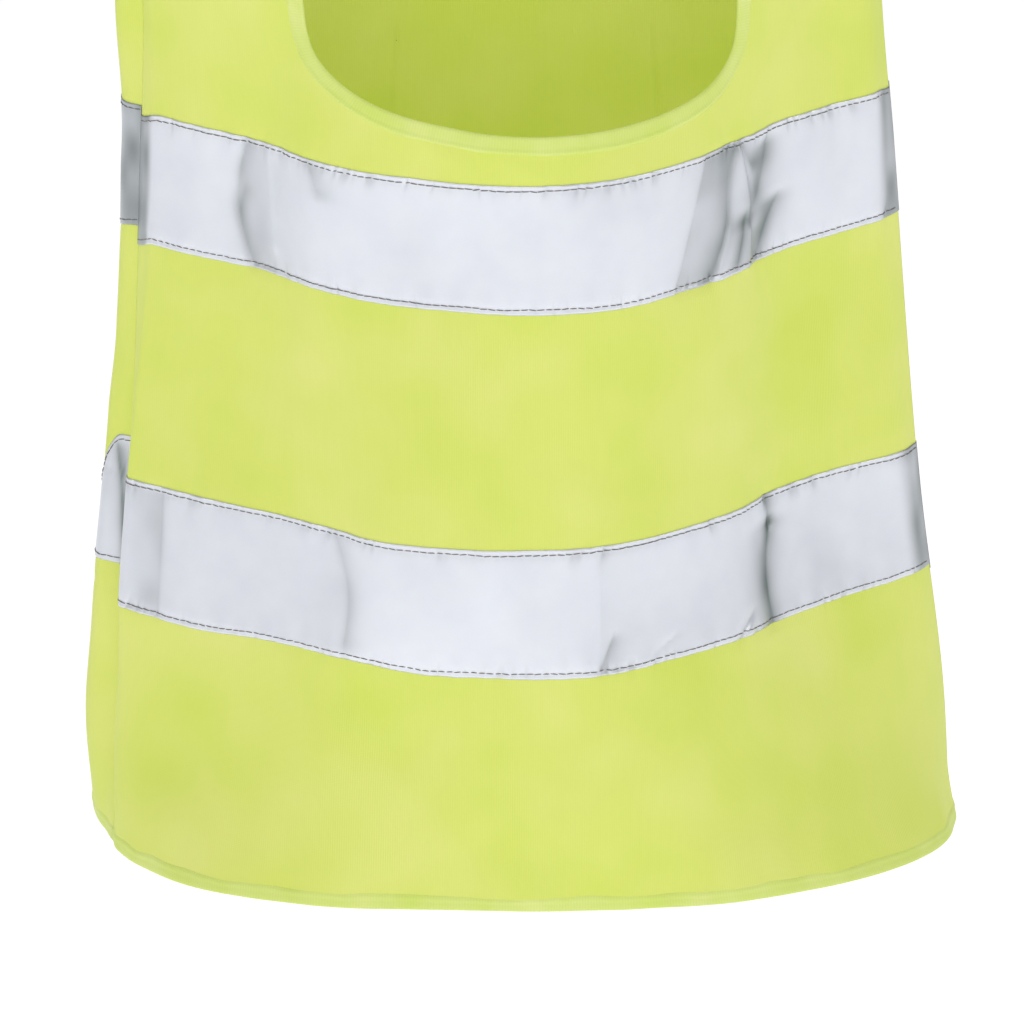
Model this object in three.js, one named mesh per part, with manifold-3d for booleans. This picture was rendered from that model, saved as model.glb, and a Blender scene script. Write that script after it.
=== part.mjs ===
// A child's pull-over high visibility vest: two knitted panels joined at the sides and shoulders,
// bound at the neck, armholes and hem, with two reflective tapes sewn round the body.
//
// Heights are measured up from the hem, and the whole vest then hangs from its origin, which is the
// middle of the shoulder line. The vest faces -Y, so the wearer's left is at +X.

import * as THREE from "three";
import { mergeVertices } from "three/addons/utils/BufferGeometryUtils.js";
import Module from "manifold-3d";

const wasm = await Module();
wasm.setup();

// Lengths in millimetres.
const TOTAL_LENGTH = 490;
const SHOULDER_SPRING_HEIGHT = 330;
const SHOULDER_SLOPE = 0.28;
const HEM_HALF_WIDTH = 159;
const CHEST_HALF_WIDTH = 140.5;
const FRONT_HEM_DEPTH = 88;
const FRONT_CHEST_DEPTH = 97;
const BACK_HEM_DEPTH = 80;
const BACK_CHEST_DEPTH = 84;
const HEM_SECTION_POWER = 3.2;
const BODY_SECTION_POWER = 1.8;
const SHOULDER_SECTION_POWER = 3;
const BODY_SECTION_FROM = 90;
const BODY_SECTION_TO = 260;
const SHOULDER_SECTION_FROM = 430;

const FABRIC_THICKNESS = 0.7;
const BAND_THICKNESS = 1.6;
const TAPE_THICKNESS = 0.4;
const THREAD_THICKNESS = 0.4;
const PIECE_GAP = 0.3;
const SEAM_GAP = 0.5;

const TAPE_WIDTH = 50;
const LOWER_TAPE_HEIGHT = 91;
const UPPER_TAPE_HEIGHT = 232;
const TAPE_END_INSET = 0.012;
const STITCH_INSET = 2;

const NECK_HALF_WIDTH = 79;
const FRONT_NECK_HEIGHT = 302;
const BACK_NECK_HEIGHT = 452;
const NECK_CURVE_RISE = 48;
const NECK_BAND_WIDTH = 6.5;
const ARMHOLE_HEIGHT = 333;
const ARMHOLE_INSET = 21;
const ARMHOLE_BAND_WIDTH = 6;
const HEM_BAND_WIDTH = 5;
const SEAM_ALLOWANCE = 6;
const SEAM_THICKNESS = 1.2;
const SEAM_SETBACK = 5;

const SIZE_LABEL = { width: 28, height: 16, thickness: 0.5 };
const CARE_LABEL = { width: 24, height: 38, thickness: 0.5, above_hem: 34 };

const BAND_SHEET_FROM = 285;
const CUTTER_DEPTH = 150;
const CUTTER_OVERLAP = 5;
const CUTTER_TOP = TOTAL_LENGTH + 30;
const COLUMNS = 26;
const TAPE_ROWS = 2;
const BETWEEN_ROWS = 3;
const SEAM_ROWS = 12;
const BAND_ROWS = 4;
const SHOULDER_ROWS = 7;
const CURVE_STEPS = 12;
const SIDE_OVERRUN = 1.002;
const SHOULDER_OVERRUN = 2.004;

const FRONT = -1;
const BACK = 1;
const SIDES = { front: FRONT, back: BACK };
const HANDS = { right: -1, left: 1 };

function material(color, roughness, metalness = 0) {
  return new THREE.MeshStandardMaterial({ color, roughness, metalness });
}

const MATERIALS = {
  knit: () => material(0xd3e368, 0.85),
  binding: () => material(0xd8e873, 0.85),
  tape: () => material(0xd9dde6, 0.45, 0.2),
  thread: () => material(0x76706a, 0.8),
  label: () => material(0xf4f4f0, 0.8),
};

const vest = new THREE.Group();
vest.position.z = -TOTAL_LENGTH;

// ---- the vest's surface ----

function ease(value, from, to) {
  return THREE.MathUtils.smoothstep(value, from, to);
}

function halfWidth(height) {
  return THREE.MathUtils.lerp(HEM_HALF_WIDTH, CHEST_HALF_WIDTH, ease(height, 0, SHOULDER_SPRING_HEIGHT));
}

function depth(side, height) {
  const [hem, chest] = side === FRONT ? [FRONT_HEM_DEPTH, FRONT_CHEST_DEPTH] : [BACK_HEM_DEPTH, BACK_CHEST_DEPTH];
  return THREE.MathUtils.lerp(hem, chest, ease(height, 0, BODY_SECTION_FROM));
}

// The power is high where the section is boxy, and low where it runs to a point at the side seams.
function sectionPower(height) {
  const body = THREE.MathUtils.lerp(HEM_SECTION_POWER, BODY_SECTION_POWER, ease(height, 0, BODY_SECTION_FROM));
  return THREE.MathUtils.lerp(body, SHOULDER_SECTION_POWER, ease(height, BODY_SECTION_TO, SHOULDER_SECTION_FROM));
}

function shoulderHeight(x) {
  return TOTAL_LENGTH - SHOULDER_SLOPE * Math.max(0, Math.abs(x) - NECK_HALF_WIDTH);
}

// across runs from -1 to 1 between the side seams. along runs from 0 at the hem to 1 at the spring
// of the shoulders, and on to 2 at the shoulder seam, where the surface has turned level.
function surfacePoint(side, across, along) {
  const turn = Math.max(0, along - 1) * (Math.PI / 2);
  const bodyHeight = Math.min(along, 1) * SHOULDER_SPRING_HEIGHT;
  const x = across * halfWidth(bodyHeight);
  const height = bodyHeight + (shoulderHeight(x) - SHOULDER_SPRING_HEIGHT) * Math.sin(turn);
  const bulge = 1 - Math.abs(across) ** sectionPower(height);
  const y = side * (SEAM_GAP / 2 + depth(side, height) * Math.cos(turn) * bulge);
  return new THREE.Vector3(x, y, height);
}

function surfaceNormal(side, across, along) {
  const step = 0.001;
  const a = surfacePoint(side, across + step, along).sub(surfacePoint(side, across - step, along));
  const b = surfacePoint(side, across, along + step).sub(surfacePoint(side, across, along - step));
  return a.cross(b).multiplyScalar(-side).normalize();
}

function offsetPoint(side, across, along, offset) {
  const normal = surfaceNormal(side, across, along);
  return surfacePoint(side, across, along).addScaledVector(normal, offset);
}

function heightToAlong(height) {
  return height / SHOULDER_SPRING_HEIGHT;
}

function steps(from, to, count) {
  return Array.from({ length: count + 1 }, (_, i) => from + ((to - from) * i) / count);
}

// ---- closed sheets that follow the surface ----

function sheet(side, acrossList, alongList, inner, outer) {
  const positions = [];
  for (const offset of [outer, inner]) {
    for (const along of alongList) {
      for (const across of acrossList) {
        positions.push(...offsetPoint(side, across, along, offset).toArray());
      }
    }
  }
  const columns = acrossList.length;
  const rows = alongList.length;
  const at = (layer, row, column) => (layer * rows + row) * columns + column;
  const triangles = [];
  const quad = (a, b, c, d) => triangles.push(a, b, c, a, c, d);
  for (let row = 0; row < rows - 1; row += 1) {
    for (let column = 0; column < columns - 1; column += 1) {
      const corners = (layer) => [
        at(layer, row, column),
        at(layer, row, column + 1),
        at(layer, row + 1, column + 1),
        at(layer, row + 1, column),
      ];
      quad(...corners(0));
      quad(...corners(1).reverse());
    }
    quad(at(0, row, 0), at(0, row + 1, 0), at(1, row + 1, 0), at(1, row, 0));
    const last = columns - 1;
    quad(at(0, row + 1, last), at(0, row, last), at(1, row, last), at(1, row + 1, last));
  }
  for (let column = 0; column < columns - 1; column += 1) {
    quad(at(0, 0, column + 1), at(0, 0, column), at(1, 0, column), at(1, 0, column + 1));
    const last = rows - 1;
    quad(at(0, last, column), at(0, last, column + 1), at(1, last, column + 1), at(1, last, column));
  }
  if (side === BACK) triangles.reverse();
  const geometry = new THREE.BufferGeometry();
  geometry.setAttribute("position", new THREE.Float32BufferAttribute(positions, 3));
  geometry.setIndex(triangles);
  return geometry;
}

function tapeHeights(bottom) {
  return steps(bottom, bottom + TAPE_WIDTH, TAPE_ROWS);
}

// The panel's rows meet the tapes' rows, so that the two surfaces stay parallel where they lie together.
function panelSheet(side, halfThickness) {
  const bottom = HEM_BAND_WIDTH + PIECE_GAP;
  const heights = [
    ...steps(bottom, LOWER_TAPE_HEIGHT, BETWEEN_ROWS).slice(0, -1),
    ...tapeHeights(LOWER_TAPE_HEIGHT),
    ...steps(LOWER_TAPE_HEIGHT + TAPE_WIDTH, UPPER_TAPE_HEIGHT, BETWEEN_ROWS).slice(1, -1),
    ...tapeHeights(UPPER_TAPE_HEIGHT),
    (UPPER_TAPE_HEIGHT + TAPE_WIDTH + SHOULDER_SPRING_HEIGHT) / 2,
  ];
  const rows = [...heights.map(heightToAlong), ...steps(1, 2, SHOULDER_ROWS)];
  return sheet(side, steps(-1, 1, COLUMNS), rows, -halfThickness, halfThickness);
}

// Runs a little past the side and shoulder seams, so that the two halves of a binding join.
function bindingSheet(side, halfThickness) {
  const body = steps(heightToAlong(BAND_SHEET_FROM), 1, BAND_ROWS);
  const shoulder = steps(1, SHOULDER_OVERRUN, SHOULDER_ROWS);
  const across = steps(-SIDE_OVERRUN, SIDE_OVERRUN, COLUMNS);
  return sheet(side, across, [...body, ...shoulder.slice(1)], -halfThickness, halfThickness);
}

function stripAcross(side, heights, inner, outer, reach) {
  return sheet(side, steps(-reach, reach, COLUMNS), heights.map(heightToAlong), inner, outer);
}

// ---- joining and cutting ----

function toSolid(geometry) {
  const bare = geometry.clone();
  bare.deleteAttribute("normal");
  bare.deleteAttribute("uv");
  const merged = mergeVertices(bare);
  return new wasm.Manifold(
    new wasm.Mesh({
      numProp: 3,
      vertProperties: new Float32Array(merged.attributes.position.array),
      triVerts: new Uint32Array(merged.index.array),
    }),
  );
}

function toGeometry(solid) {
  const mesh = solid.getMesh();
  const geometry = new THREE.BufferGeometry();
  geometry.setAttribute("position", new THREE.Float32BufferAttribute(mesh.vertProperties, mesh.numProp));
  geometry.setIndex(Array.from(mesh.triVerts));
  return geometry;
}

// A cutter with its outline in X and Z that reaches from just past the middle plane beyond one panel.
function cutter(outline, side) {
  const geometry = new THREE.ExtrudeGeometry(outline, {
    depth: CUTTER_DEPTH,
    bevelEnabled: false,
    curveSegments: CURVE_STEPS,
  });
  geometry.rotateX(Math.PI / 2);
  geometry.translate(0, side === BACK ? CUTTER_DEPTH - CUTTER_OVERLAP : CUTTER_OVERLAP, 0);
  return toSolid(geometry);
}

function neckOutline(side, margin) {
  const halfWidthHere = NECK_HALF_WIDTH + margin;
  const bottom = (side === FRONT ? FRONT_NECK_HEIGHT : BACK_NECK_HEIGHT) - margin;
  const rise = side === FRONT ? NECK_CURVE_RISE : (TOTAL_LENGTH - BACK_NECK_HEIGHT) * 0.9;
  const sideControl = bottom + rise * 0.32;
  const bottomControl = halfWidthHere * 0.56;
  const outline = new THREE.Shape();
  outline.moveTo(-halfWidthHere, CUTTER_TOP);
  outline.lineTo(-halfWidthHere, bottom + rise);
  outline.bezierCurveTo(-halfWidthHere, sideControl, -bottomControl, bottom, 0, bottom);
  outline.bezierCurveTo(bottomControl, bottom, halfWidthHere, sideControl, halfWidthHere, bottom + rise);
  outline.lineTo(halfWidthHere, CUTTER_TOP);
  return outline;
}

function armholeOutline(hand, margin) {
  const outer = hand * (CHEST_HALF_WIDTH + 20);
  const seam = hand * (CHEST_HALF_WIDTH + 1);
  const narrow = hand * (CHEST_HALF_WIDTH - ARMHOLE_INSET - margin);
  const tip = hand * (CHEST_HALF_WIDTH - ARMHOLE_INSET * 0.6 - margin);
  const bottom = ARMHOLE_HEIGHT - margin;
  const waist = ARMHOLE_HEIGHT + 75;
  const outline = new THREE.Shape();
  outline.moveTo(outer, bottom);
  outline.lineTo(seam, bottom);
  outline.bezierCurveTo(narrow + hand * 8, bottom, narrow, bottom + 30, narrow, waist);
  outline.bezierCurveTo(narrow, waist + 40, tip, TOTAL_LENGTH - 30, tip, TOTAL_LENGTH);
  outline.lineTo(tip, CUTTER_TOP);
  outline.lineTo(outer, CUTTER_TOP);
  return outline;
}

// ---- pieces ----

function add(name, geometry, look) {
  const mesh = new THREE.Mesh(geometry, look());
  mesh.name = name;
  vest.add(mesh);
  return mesh;
}

function addPanel(sideName) {
  const side = SIDES[sideName];
  let panel = toSolid(panelSheet(side, FABRIC_THICKNESS / 2));
  panel = panel.subtract(cutter(neckOutline(side, NECK_BAND_WIDTH + PIECE_GAP), side));
  for (const hand of Object.values(HANDS)) {
    panel = panel.subtract(cutter(armholeOutline(hand, ARMHOLE_BAND_WIDTH + PIECE_GAP), side));
  }
  add(`${sideName}_panel`, toGeometry(panel), MATERIALS.knit);
}

// A binding is the ring of a thicker sheet between an opening's edge and the panel's cut edge.
function bindingHalf(side, outlineAt, width) {
  const thick = toSolid(bindingSheet(side, BAND_THICKNESS / 2));
  return thick.intersect(cutter(outlineAt(side, width), side)).subtract(cutter(outlineAt(side, 0), side));
}

function addNeckBand() {
  const halves = Object.values(SIDES).map((side) => bindingHalf(side, neckOutline, NECK_BAND_WIDTH));
  add("neck_band", toGeometry(halves[0].add(halves[1])), MATERIALS.binding);
}

function addArmholeBand(handName) {
  const outlineAt = (side, margin) => armholeOutline(HANDS[handName], margin);
  const halves = Object.values(SIDES).map((side) => bindingHalf(side, outlineAt, ARMHOLE_BAND_WIDTH));
  add(`${handName}_armhole_band`, toGeometry(halves[0].add(halves[1])), MATERIALS.binding);
}

function addHemBand() {
  const half = BAND_THICKNESS / 2;
  const halves = Object.values(SIDES).map((side) =>
    toSolid(stripAcross(side, [0, HEM_BAND_WIDTH], -half, half, SIDE_OVERRUN)),
  );
  add("hem_band", toGeometry(halves[0].add(halves[1])), MATERIALS.binding);
}

function addTape(sideName, level, bottom) {
  const side = SIDES[sideName];
  const reach = 1 - TAPE_END_INSET;
  const inner = FABRIC_THICKNESS / 2 + PIECE_GAP;
  const outer = inner + TAPE_THICKNESS;
  const name = `${sideName}_${level}_tape`;
  add(name, stripAcross(side, tapeHeights(bottom), inner, outer, reach), MATERIALS.tape);
  const rows = { bottom: bottom + STITCH_INSET, top: bottom + TAPE_WIDTH - STITCH_INSET };
  for (const [row, height] of Object.entries(rows)) {
    const heights = [height - THREAD_THICKNESS / 2, height + THREAD_THICKNESS / 2];
    const lift = outer + PIECE_GAP;
    const thread = stripAcross(side, heights, lift, lift + THREAD_THICKNESS, reach - TAPE_END_INSET);
    add(`${name}_${row}_stitch`, thread, MATERIALS.thread);
  }
}

// The seam allowance stands inwards from the join of the two panels, behind the side seam.
function addSideSeam(handName) {
  const hand = HANDS[handName];
  const bottom = HEM_BAND_WIDTH + SEAM_ALLOWANCE;
  const top = ARMHOLE_HEIGHT - ARMHOLE_BAND_WIDTH - SEAM_ALLOWANCE;
  const heights = steps(bottom, top, SEAM_ROWS);
  const outerEdge = heights.map((height) => new THREE.Vector2(hand * (halfWidth(height) - SEAM_SETBACK), height));
  const innerEdge = outerEdge.map((point) => new THREE.Vector2(point.x - hand * SEAM_ALLOWANCE, point.y));
  const outline = new THREE.Shape([...outerEdge, ...innerEdge.reverse()]);
  const strip = new THREE.ExtrudeGeometry(outline, { depth: SEAM_THICKNESS, bevelEnabled: false });
  strip.rotateX(Math.PI / 2);
  strip.translate(0, SEAM_THICKNESS / 2, 0);
  add(`${handName}_side_seam`, toGeometry(toSolid(strip)), MATERIALS.knit);
}

function addShoulderSeam(handName) {
  const hand = HANDS[handName];
  const inner = NECK_HALF_WIDTH + NECK_BAND_WIDTH + 1;
  const outer = CHEST_HALF_WIDTH - ARMHOLE_INSET * 0.6 - ARMHOLE_BAND_WIDTH - 1;
  const middle = (inner + outer) / 2;
  const strip = new THREE.BoxGeometry(outer - inner, SEAM_ALLOWANCE, SEAM_THICKNESS);
  const mesh = add(`${handName}_shoulder_seam`, strip, MATERIALS.knit);
  mesh.position.set(hand * middle, 0, shoulderHeight(middle) - SEAM_THICKNESS - FABRIC_THICKNESS - 1);
  mesh.rotation.y = hand * Math.atan(SHOULDER_SLOPE);
}

function addSizeLabel() {
  const { width, height, thickness } = SIZE_LABEL;
  const hinge = sizeLabelHinge();
  const label = add("size_label", new THREE.BoxGeometry(width, thickness, height), MATERIALS.label);
  label.position.set(0, hinge.y, hinge.z - height / 2);
}

// The label hangs from the lower edge of the back neck band, inside the vest.
function sizeLabelHinge() {
  const height = BACK_NECK_HEIGHT - NECK_BAND_WIDTH - 1;
  const rise = (height - SHOULDER_SPRING_HEIGHT) / (TOTAL_LENGTH - SHOULDER_SPRING_HEIGHT);
  const surface = surfacePoint(BACK, 0, 1 + Math.asin(rise) / (Math.PI / 2));
  return new THREE.Vector3(0, surface.y - 3, height);
}

// The label stands inwards from the side seam, halfway between the two panels.
function addCareLabel() {
  const { width, height, thickness, above_hem } = CARE_LABEL;
  const outerEdge = halfWidth(above_hem + height) - SEAM_SETBACK - SEAM_ALLOWANCE - PIECE_GAP;
  const label = add("care_label", new THREE.BoxGeometry(width, thickness, height), MATERIALS.label);
  label.position.set(outerEdge - width / 2, 0, above_hem + height / 2);
}

for (const sideName of Object.keys(SIDES)) {
  addPanel(sideName);
  addTape(sideName, "lower", LOWER_TAPE_HEIGHT);
  addTape(sideName, "upper", UPPER_TAPE_HEIGHT);
}
addNeckBand();
addHemBand();
for (const handName of Object.keys(HANDS)) {
  addArmholeBand(handName);
  addSideSeam(handName);
  addShoulderSeam(handName);
}
addSizeLabel();
addCareLabel();

export default vest;
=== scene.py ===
"""A child's pull-over high visibility vest as worn: knitted panels, sewn reflective tapes and bound edges.

The garment is worked out in millimetres, with heights measured up from the hem, and is placed in metres with
its origin at the shoulder line. The vest faces -Y. "left" and "right" are the wearer's, so left is at +X.
"""

import math

import bpy
import numpy as np
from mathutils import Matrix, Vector


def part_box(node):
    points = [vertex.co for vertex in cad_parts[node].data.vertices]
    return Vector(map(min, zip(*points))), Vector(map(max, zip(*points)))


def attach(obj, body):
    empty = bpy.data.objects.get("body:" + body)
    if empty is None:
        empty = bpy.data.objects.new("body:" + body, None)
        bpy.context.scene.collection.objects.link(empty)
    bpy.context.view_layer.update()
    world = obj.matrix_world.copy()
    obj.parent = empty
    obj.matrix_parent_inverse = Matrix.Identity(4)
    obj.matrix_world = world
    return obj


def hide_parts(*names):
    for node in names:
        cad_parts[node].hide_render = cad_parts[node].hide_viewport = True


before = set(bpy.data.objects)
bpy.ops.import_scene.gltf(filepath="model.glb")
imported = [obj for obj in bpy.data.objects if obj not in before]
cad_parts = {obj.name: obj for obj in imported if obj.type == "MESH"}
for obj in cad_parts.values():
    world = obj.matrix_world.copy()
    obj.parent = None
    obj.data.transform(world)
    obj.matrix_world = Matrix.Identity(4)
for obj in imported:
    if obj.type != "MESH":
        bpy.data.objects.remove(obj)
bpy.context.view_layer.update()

# ---- driving dimensions, in millimetres ----

MM = 0.001
TOTAL_LENGTH = -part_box("hem_band")[0][2] / MM
SPRING = 330  # height where the shoulders begin to turn over
SHOULDER_SLOPE = 0.28
NECK_HALF_WIDTH = 79
SHOULDER_HALF_WIDTH = 140.5

TAPE_WIDTH = 50
TAPE_BOTTOM = {"lower": 91, "upper": 231.3}
STITCH_INSET = 2.0
STITCH_PITCH = 3.0
STITCH_LENGTH = 2.85
STITCH_RADIUS = 0.19

FABRIC = 0.35
TAPE_THICKNESS = 0.22
TAPE_LIFT = 0.42
UNDER_TAPE = 0.35  # how far the knit is pressed in under a tape
THREAD_LIFT = 0.62
NECK_BAND = 6.6
ARMHOLE_BAND = 6.2
HEM_BAND = 4.8
BAND_HALF_THICKNESS = 0.8
HEM_HALF_THICKNESS = 0.48
BAND_RIDGE = 0.3  # height of the ridge along a binding's inner edge, as a share of its half thickness

SEAM_ALLOWANCE = 8.0
SEAM_THICKNESS = 0.9
LABEL_THICKNESS = 0.3

FRONT, BACK = -1, 1
HANDS = ((1, "left"), (-1, "right"))

# ---- plan outlines of the worn vest, from the wearer's right seam to the left one ----
# Each front outline passes the middle of the chest, and each back outline the middle of the back.
# The section is round at the hem and drawn to the sides at the tapes, as the cloth hangs from the chest.

LEVELS = (0, 50, 128, 257, 330)
FRONT_OUTLINES = (
    ([(-144.9, 0.5), (-143.2, -8), (-136, -28), (-119, -51), (-75, -74.5), (0, -88.5), (55, -90), (100, -79),
      (136.5, -59.5), (158.8, -35.5), (166.2, -13), (166, 10)], 5),
    ([(-141, 12), (-143, 1), (-129, -19), (-101, -44), (-63, -71), (0, -90), (42, -90), (84, -69), (116, -44),
      (146, -16), (158, 0), (163.5, 12)], 5),
    ([(-136.5, 14), (-139.3, 8), (-140.3, 3), (-136, -2), (-115, -21.5), (-79, -49.5), (-47, -79), (0, -90),
      (25, -87.8), (57, -72), (81, -53.3), (98, -33.3), (118, -15.7), (146.3, 2), (154.2, 12)], 7),
    ([(-132.3, 14), (-131.2, 9), (-129, 4), (-124, -1.5), (-114, -11), (-93, -29), (-67, -61), (-36, -78),
      (0, -89), (33, -86), (57, -71), (82, -46), (99, -26), (119, -12), (138.3, 1), (144.2, 12)], 8),
    ([(-131.3, 12), (-129.5, 5), (-124, -3), (-112, -18), (-84, -45), (-50, -75), (0, -91), (50, -75),
      (84, -45), (112, -16), (132, -2), (139, 12)], 6),
)
BACK_OUTLINES = (
    ([(-144.9, 0.5), (-148.8, 18), (-149.1, 40), (-143, 61), (-84, 77), (0, 80), (90, 74), (140, 54),
      (161, 30), (166, 10)], 5),
    ([(-141, 12), (-152, 25), (-149.5, 44), (-120, 63), (-64, 78), (0, 82), (75, 76), (128, 55),
      (157, 32), (163.5, 12)], 5),
    ([(-136.5, 14), (-147, 22), (-143.5, 36), (-115, 60), (-60, 79), (0, 84), (60, 79), (115, 57), (148, 28),
      (154.2, 12)], 5),
    ([(-132.3, 14), (-136.9, 20), (-135, 33), (-110, 56), (-60, 79), (0, 85), (60, 79), (110, 54),
      (138.2, 28), (144.2, 12)], 5),
    ([(-131.3, 12), (-139.8, 19), (-135, 36), (-108, 59), (-58, 80), (0, 85), (58, 80), (108, 56),
      (133.5, 28), (139, 12)], 5),
)
STRAP_LEVEL = 430
STRAP_REACH = {FRONT: 95, BACK: 86}
OUTLINE_SAMPLES = 1601
OUTLINE_PARAMETER = np.linspace(-1, 1, OUTLINE_SAMPLES)


def catmull_rom(points, per_segment=60):
    """A smooth line through the points."""
    p = np.asarray(points, float)
    p = np.vstack([2 * p[0] - p[1], p, 2 * p[-1] - p[-2]])
    knots = np.concatenate([[0], np.cumsum(np.sqrt(np.linalg.norm(np.diff(p, axis=0), axis=1)))])
    out = []
    for i in range(1, len(p) - 2):
        t0, t1, t2, t3 = knots[i - 1 : i + 3]
        last = i == len(p) - 3
        t = np.linspace(t1, t2, per_segment + (1 if last else 0), endpoint=last)[:, None]
        a1 = (t1 - t) / (t1 - t0) * p[i - 1] + (t - t0) / (t1 - t0) * p[i]
        a2 = (t2 - t) / (t2 - t1) * p[i] + (t - t1) / (t2 - t1) * p[i + 1]
        a3 = (t3 - t) / (t3 - t2) * p[i + 1] + (t - t2) / (t3 - t2) * p[i + 2]
        b1 = (t2 - t) / (t2 - t0) * a1 + (t - t0) / (t2 - t0) * a2
        b2 = (t3 - t) / (t3 - t1) * a2 + (t - t1) / (t3 - t1) * a3
        out.append((t2 - t) / (t2 - t1) * b1 + (t - t1) / (t2 - t1) * b2)
    return np.vstack(out)


def even_outline(points, middle, per_segment=60):
    """The outline at even steps of arc length from its middle point to each end, and the arc length there."""
    line = catmull_rom(points, per_segment)
    length = np.concatenate([[0], np.cumsum(np.linalg.norm(np.diff(line, axis=0), axis=1))])
    length -= length[middle * per_segment]
    wanted = np.where(OUTLINE_PARAMETER < 0, -OUTLINE_PARAMETER * length[0], OUTLINE_PARAMETER * length[-1])
    return np.stack([np.interp(wanted, length, line[:, 0]), np.interp(wanted, length, line[:, 1]), wanted])


def shoulder_outline(side):
    """The boxy section that the straps have, from one shoulder to the other, at full depth."""
    x = OUTLINE_PARAMETER * SHOULDER_HALF_WIDTH
    y = side * STRAP_REACH[side] * (1 - np.abs(OUTLINE_PARAMETER) ** 3)
    return np.stack([x, y, x])


OUTLINES = {
    FRONT: [even_outline(*o) for o in FRONT_OUTLINES] + [shoulder_outline(FRONT)],
    BACK: [even_outline(*o) for o in BACK_OUTLINES] + [shoulder_outline(BACK)],
}
OUTLINE_HEIGHTS = np.array(LEVELS + (STRAP_LEVEL,), float)


def ease(value, start, end):
    t = np.clip((value - start) / (end - start), 0, 1)
    return t * t * (3 - 2 * t)


def outline_at(side, across, height):
    """x, y and arc length of the outline at a height, blended between the outlines above and below."""
    values = np.stack([[np.interp(across, OUTLINE_PARAMETER, row) for row in o] for o in OUTLINES[side]])
    h = OUTLINE_HEIGHTS
    slopes = [(values[1] - values[0]) / (h[1] - h[0])]
    for i in range(1, len(h) - 1):
        slopes.append((values[i + 1] - values[i - 1]) / (h[i + 1] - h[i - 1]))
    slopes.append(np.zeros_like(values[0]))
    height = np.clip(height, h[0], h[-1])
    out = np.zeros_like(values[0])
    for i in range(len(h) - 1):
        span = h[i + 1] - h[i]
        t = (height - h[i]) / span
        here = (height >= h[i]) & ((height < h[i + 1]) | (i == len(h) - 2))
        curve = (
            (2 * t**3 - 3 * t**2 + 1) * values[i]
            + (t**3 - 2 * t**2 + t) * span * slopes[i]
            + (3 * t**2 - 2 * t**3) * values[i + 1]
            + (t**3 - t**2) * span * slopes[i + 1]
        )
        out = np.where(here, curve, out)
    return out


def shoulder_height(x):
    return TOTAL_LENGTH - SHOULDER_SLOPE * np.maximum(0, np.abs(x) - NECK_HALF_WIDTH)


def height_of(x, along):
    """along is 0 at the hem, 1 at the spring of the shoulders and 2 at the shoulder seam."""
    turn = np.clip(along - 1, 0, 1) * math.pi / 2
    body = np.clip(along, 0, 1) * SPRING
    return body + (shoulder_height(x) - SPRING) * np.sin(turn)


def smooth_place(side, across, along):
    """The surface without its folds."""
    across, along = np.broadcast_arrays(np.asarray(across, float), np.asarray(along, float))
    turn = np.clip(along - 1, 0, 1) * math.pi / 2
    guess = height_of(across * SHOULDER_HALF_WIDTH, along)
    x, y, _ = outline_at(side, across, guess)
    y = y * np.cos(turn)
    return np.stack([x, y, height_of(x, along)], axis=-1)


def arc_length(side, across, along):
    """Distance along the cloth from its middle, towards +X."""
    across, along = np.broadcast_arrays(np.asarray(across, float), np.asarray(along, float))
    return outline_at(side, across, np.clip(along, 0, 1) * SPRING)[2]


# ---- folds and unevenness of the cloth ----

# Each soft fold runs from one (x, height) to another: its width, and how far it stands out from the cloth.
FRONT_FOLDS = (
    dict(start=(-44, 300), end=(-18, 285), width=3.5, rise=0.7),
    dict(start=(-22, 298), end=(4, 284), width=3.5, rise=0.6),
    dict(start=(71, 292), end=(57, 222), width=9, rise=-0.8),
    dict(start=(90, 300), end=(88, 216), width=9, rise=-1.0),
    dict(start=(-96, 296), end=(-94, 216), width=9, rise=-0.8),
    dict(start=(92, 150), end=(94, 84), width=8, rise=-0.9),
    dict(start=(-66, 90), end=(-46, 50), width=10, rise=-1.2),
    dict(start=(92, 92), end=(88, 40), width=11, rise=-1.6),
    dict(start=(-127, 88), end=(-127, 24), width=7, rise=-1.4),
    dict(start=(-25, 26), end=(12, 16), width=8, rise=-1.0),
    dict(start=(60, 34), end=(110, 26), width=9, rise=-1.2),
    dict(start=(40, 215), end=(20, 160), width=16, rise=-0.8),
    dict(start=(-100, 210), end=(-112, 150), width=14, rise=-0.9),
    dict(start=(104, 205), end=(112, 150), width=12, rise=1.0),
)
BACK_FOLDS = (
    dict(start=(-70, 430), end=(-96, 300), width=10, rise=1.4),
    dict(start=(70, 430), end=(98, 300), width=10, rise=1.4),
    dict(start=(-60, 300), end=(-52, 150), width=14, rise=-2.0),
    dict(start=(40, 290), end=(58, 60), width=15, rise=-2.2),
    dict(start=(-6, 225), end=(-14, 20), width=16, rise=1.8),
    dict(start=(100, 240), end=(110, 90), width=12, rise=1.6),
    dict(start=(-104, 230), end=(-112, 40), width=13, rise=1.8),
    dict(start=(-136, 250), end=(-139, 170), width=10, rise=-1.6),
)
FOLDS = {FRONT: FRONT_FOLDS, BACK: BACK_FOLDS}

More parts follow.
